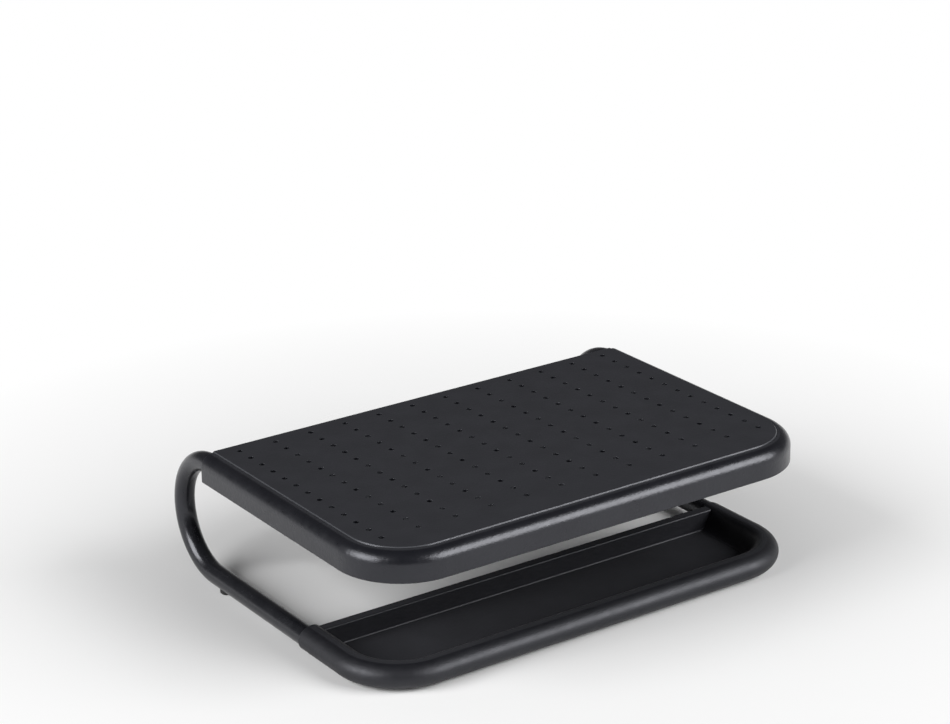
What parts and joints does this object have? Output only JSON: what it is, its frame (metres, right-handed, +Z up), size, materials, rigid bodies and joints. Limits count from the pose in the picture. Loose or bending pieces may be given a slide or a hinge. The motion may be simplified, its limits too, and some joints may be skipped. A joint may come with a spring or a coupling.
{
  "type": "monitor stand",
  "caption": "Low desk riser: a flat vented shelf with a rounded rim, carried on C-shaped steel tubes above a shallow pen tray that joins the tube ends.",
  "frame": {"origin": "on the desk, under the middle of the bounding box", "axes": "+X along the width, the front at -Y, +Z up"},
  "size_m": [0.38, 0.2904, 0.1081],
  "materials": {
    "platform_plastic": "satin",
    "tray_plastic": "satin",
    "tube_coat": "satin",
    "rubber": "matte",
    "screw_steel": "plain"
  },
  "bodies": {
    "root": {"platform": "platform_plastic", "tray": "tray_plastic", "left_leg_tube": "tube_coat", "right_leg_tube": "tube_coat", "left_tube_foot": "rubber", "right_tube_foot": "rubber", "tray_foot_front_left": "rubber", "tray_foot_rear_left": "rubber", "tray_foot_front_right": "rubber", "tray_foot_rear_right": "rubber", "platform_screw_left_front": "screw_steel", "platform_screw_left_rear": "screw_steel", "platform_screw_right_front": "screw_steel", "platform_screw_right_rear": "screw_steel"}
  },
  "joints": []
}
